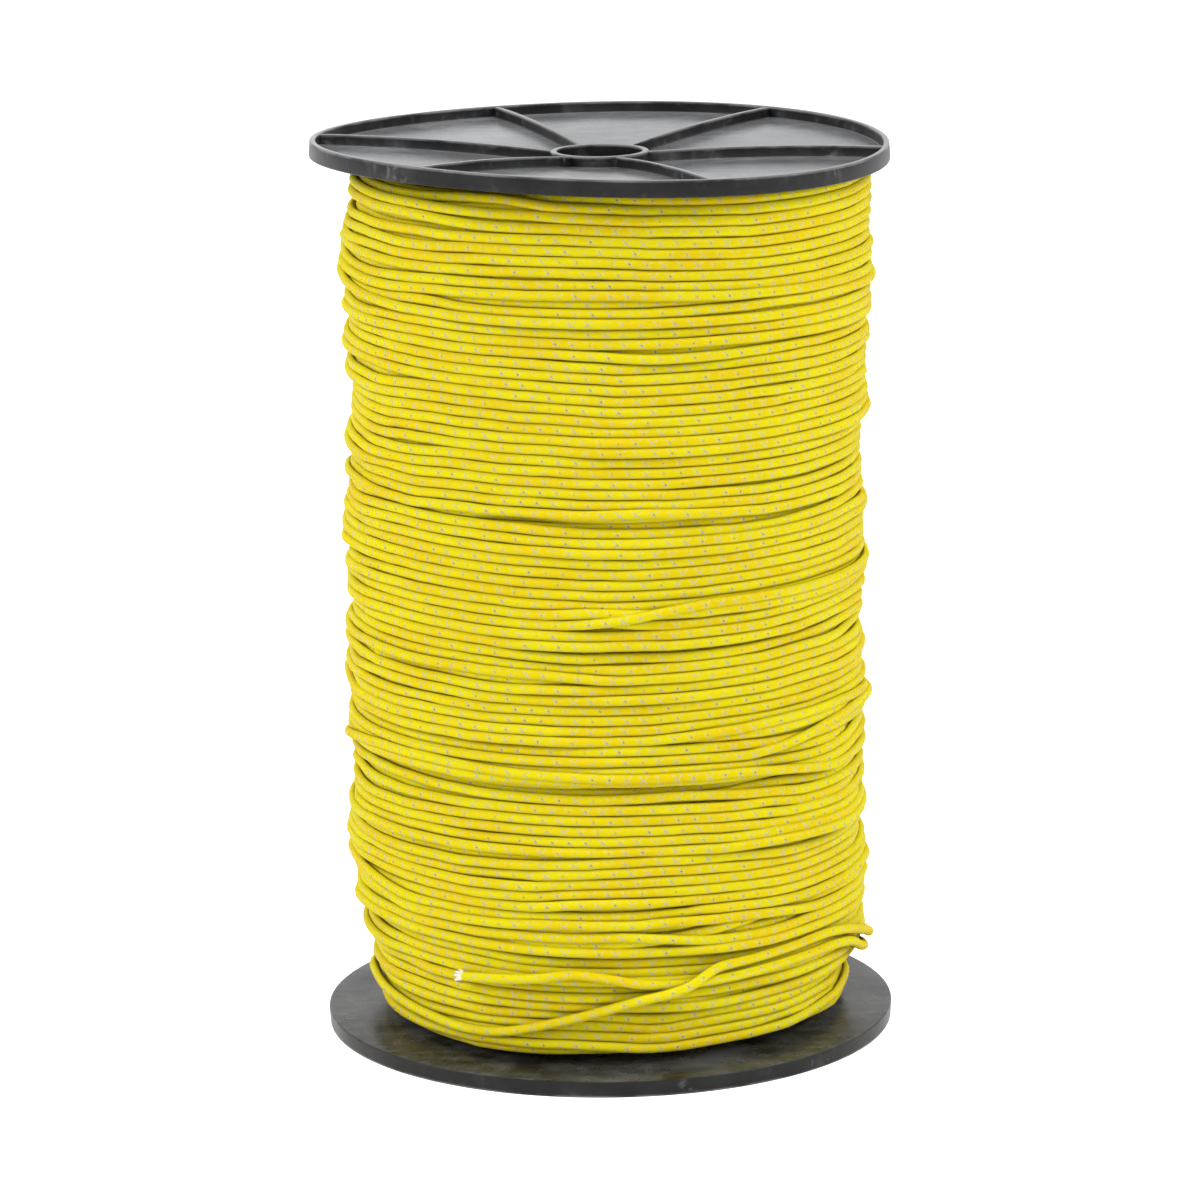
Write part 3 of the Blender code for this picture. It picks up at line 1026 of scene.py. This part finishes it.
def ribSection(f):
    # half width and height corners of a rib, with a flare where it meets the plate
    half = f["ribThickness"] / 2
    toe = f["disc"] - f["ribBite"]
    top = f["rimHeight"] - f["ribDrop"]
    flare = f["fillet"]
    left = [(-half - flare * f["toeWidth"], toe, 0)]
    left += [(-half - flare * out, f["disc"] + flare * up, 0) for out, up in f["flareShape"]]
    left += [(-half, top - f["edgeRound"] - f["wearDepth"], 0), (-half, top, f["edgeRound"] * f["ribEdge"])]
    right = [(-x, y, radius) for x, y, radius in reversed(left)]
    return roundedOutline(left + right, f["ribArcPoints"])


def makeRib(f):
    start = f["bore"] + f["hubWall"] - f["ribBite"]
    end = flangeRadius - f["rimWall"] + f["ribBite"]
    section = ribSection(f)
    shape = bmesh.new()
    rings = []
    for i in range(f["ribRuns"] + 1):
        x = start + (end - start) * i / f["ribRuns"]
        rings.append([shape.verts.new((x, y, z)) for y, z in section])
    for a, b in zip(rings, rings[1:]):
        for j in range(len(section)):
            k = (j + 1) % len(section)
            shape.faces.new((a[j], a[k], b[k], b[j]))
    shape.faces.new(rings[0])
    shape.faces.new(rings[-1])
    bmesh.ops.recalc_face_normals(shape, faces=shape.faces)
    return addPiece("rib", meshFrom(shape, "rib"))


def makeRibTree():
    # copies of one rib, turned evenly about the hub
    sizes = (("Count", "Int", 6), ("First Angle", "Float", 0.0))
    tree, given, out = newTree("RibRing", "Rib", sizes, "Ribs")
    points = through(tree, given["Count"], "GeometryNodePoints")
    index = addNode(tree, "GeometryNodeInputIndex").outputs["Index"]
    step = mathNode(tree, "DIVIDE", math.tau, given["Count"])
    turn = mathNode(tree, "MULTIPLY_ADD", index, step, given["First Angle"])
    spin = addNode(tree, "ShaderNodeCombineXYZ")
    wire(tree, turn, spin.inputs["Z"])
    copies = through(tree, points.outputs[0], "GeometryNodeInstanceOnPoints")
    fill(tree, copies, {"Instance": given["Rib"], "Rotation": spin.outputs["Vector"]})
    endTree(tree, copies.outputs["Instances"], given["Finish"], out["Ribs"])
    return tree


ribTree = makeRibTree()


def makePlate(name, f, material):
    hub = f["bore"] + f["hubWall"]
    rimIn = flangeRadius - f["rimWall"]
    edge = f["edgeRound"]
    worn = f["rimHeight"] - edge - f["wearDepth"]
    corners = [
        (flangeRadius - f["rimDraft"], f["rimHeight"], edge),
        (flangeRadius - f["rimDraft"] * worn / f["rimHeight"], worn, 0),
        (flangeRadius, 0, edge),
    ]
    rings = f["floorRings"]
    under = [flangeRadius + (f["spigotRadius"] - flangeRadius) * i / rings for i in range(1, rings)]
    corners += [(r, 0, 0) for r in under]
    corners += [
        (f["spigotRadius"], 0, edge),
        (f["spigotRadius"], -f["spigotDepth"], edge),
        (f["spigotRadius"] - f["spigotWall"], -f["spigotDepth"], edge),
        (f["spigotRadius"] - f["spigotWall"], 0, 0),
        (hub, 0, 0),
        (hub, -f["hubDepth"], edge),
        (f["bore"], -f["hubDepth"], edge),
        (f["bore"], worn, 0),
        (f["bore"], f["rimHeight"], edge),
        (hub, f["rimHeight"], edge),
        (hub, worn, 0),
        (hub, f["disc"], f["fillet"]),
    ]
    corners += [(hub + (rimIn - hub) * i / rings, f["disc"], 0) for i in range(1, rings)]
    corners += [
        (rimIn, f["disc"], f["fillet"]),
        (rimIn, worn, 0),
        (rimIn, f["rimHeight"], edge),
    ]
    return spun(name, roundedOutline(corners, f["arcPoints"]), f["steps"], material)


def markEdges(mesh, f):
    # the top rounds of the rim, ribs and hub are rubbed pale, partly a painted highlight along them
    z = cornerPlaces(mesh)[:, 2]
    wear = mesh.attributes.new("edgeWearAndHighlight", "FLOAT", "POINT")
    wear.data.foreach_set("value", (z > f["rimHeight"] - f["edgeRound"] - f["ribDrop"]).astype(float))


def makeFlange(name, f, node, inner, turnedOver, plateShape, material):
    plate = makePlate(name, f, material)
    ribs = makeRib(f)
    modifier = ribs.modifiers.new("Ribs", "NODES")
    modifier.node_group = ribTree
    setInputs(modifier, {"Count": f["ribs"], "First Angle": math.radians(f["firstRib"]), "Finish": material})
    frozen(ribs)
    join = plate.modifiers.new("Join ribs", "BOOLEAN")
    join.operation = "UNION"
    join.solver = "EXACT"
    join.object = ribs
    frozen(plate)
    bpy.data.objects.remove(ribs, do_unlink=True)
    mesh = plate.data
    markEdges(mesh, f)
    points = cornerPlaces(mesh)
    points[:, 2] += plateLevel(points[:, 0], points[:, 1], plateShape)
    if turnedOver:
        points = points * (1, -1, -1)
    points[:, 2] += inner
    mesh.vertices.foreach_set("co", points.ravel())
    mesh.shade_smooth()
    mesh.set_sharp_from_angle(angle=math.radians(f["sharpAngle"]))
    mesh.update()
    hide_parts(node)
    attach(plate, "root")


makeFlange("topFlangePlate", flangeSettings, "top_flange",
           spoolTop - flangeSettings["rimHeight"], False, topPlate, flangePlastic)
makeFlange("bottomFlangePlate", flangeSettings, "bottom_flange",
           bottomBox[0][2] + flangeSettings["rimHeight"], True, bottomPlate, lowFlangePlastic)
print("flanges ready")

barrel = bpy.data.objects["barrel"]
barrel.data.materials.clear()
barrel.data.materials.append(barrelPlastic)


# Floor, world and lamps

stageSettings = {
    "floorSize": 14,
    "floorColour": (0.86, 0.86, 0.86, 1),
    "floorRoughness": 0.9,
    "floorGlow": 0.60,
    "worldStrength": 0.30,
    "lamps": (
        # name, place, size, watts
        ("leftLamp", (-1.9, -0.7, 1.35), 1.5, 46),
        ("rightLamp", (1.9, -0.7, 1.35), 1.5, 44),
        ("topLamp", (0.0, 0.2, 2.3), 1.6, 19),
        ("frontLamp", (0.0, -2.6, 1.2), 1.2, 14),
    ),
}


def seenRays(tree):
    # 1 for what the camera, a reflection or glass sees directly
    path = addNode(tree, "ShaderNodeLightPath").outputs
    either = mathNode(tree, "MAXIMUM", path["Is Camera Ray"], path["Is Glossy Ray"])
    return mathNode(tree, "MAXIMUM", either, path["Is Transmission Ray"])


def makeStage(s):
    material, tree, shader = newMaterial("paleFloor")
    glow = mathNode(tree, "MULTIPLY", seenRays(tree), s["floorGlow"])
    fill(tree, shader, {"Base Color": s["floorColour"], "Roughness": s["floorRoughness"],
                        "Emission Color": (1, 1, 1, 1), "Emission Strength": glow})
    half = s["floorSize"] / 2
    mesh = bpy.data.meshes.new("floor")
    corners = [(-half, -half, 0), (half, -half, 0), (half, half, 0), (-half, half, 0)]
    mesh.from_pydata(corners, [], [(0, 1, 2, 3)])
    floor = addPiece("floor", mesh, material)
    world = bpy.data.worlds.new("studio")
    bpy.context.scene.world = world
    world.use_nodes = True
    world.cycles.sampling_method = "NONE"    # reflections then see the bright side of the world alone
    tree = world.node_tree
    lift = mathNode(tree, "MULTIPLY_ADD", seenRays(tree), 1 - s["worldStrength"], s["worldStrength"])
    fill(tree, tree.nodes["Background"], {"Color": (1, 1, 1, 1), "Strength": lift})
    for name, place, width, watts in s["lamps"]:
        lamp = bpy.data.lights.new(name, "AREA")
        lamp.size = width
        lamp.energy = watts
        holder = bpy.data.objects.new(name, lamp)
        bpy.context.scene.collection.objects.link(holder)
        aim = Vector((0, 0, spoolTop / 2)) - Vector(place)
        holder.matrix_world = Matrix.Translation(place) @ aim.to_track_quat("-Z", "Y").to_matrix().to_4x4()


makeStage(stageSettings)
bpy.context.scene.view_settings.view_transform = "Standard"
print("stage ready")
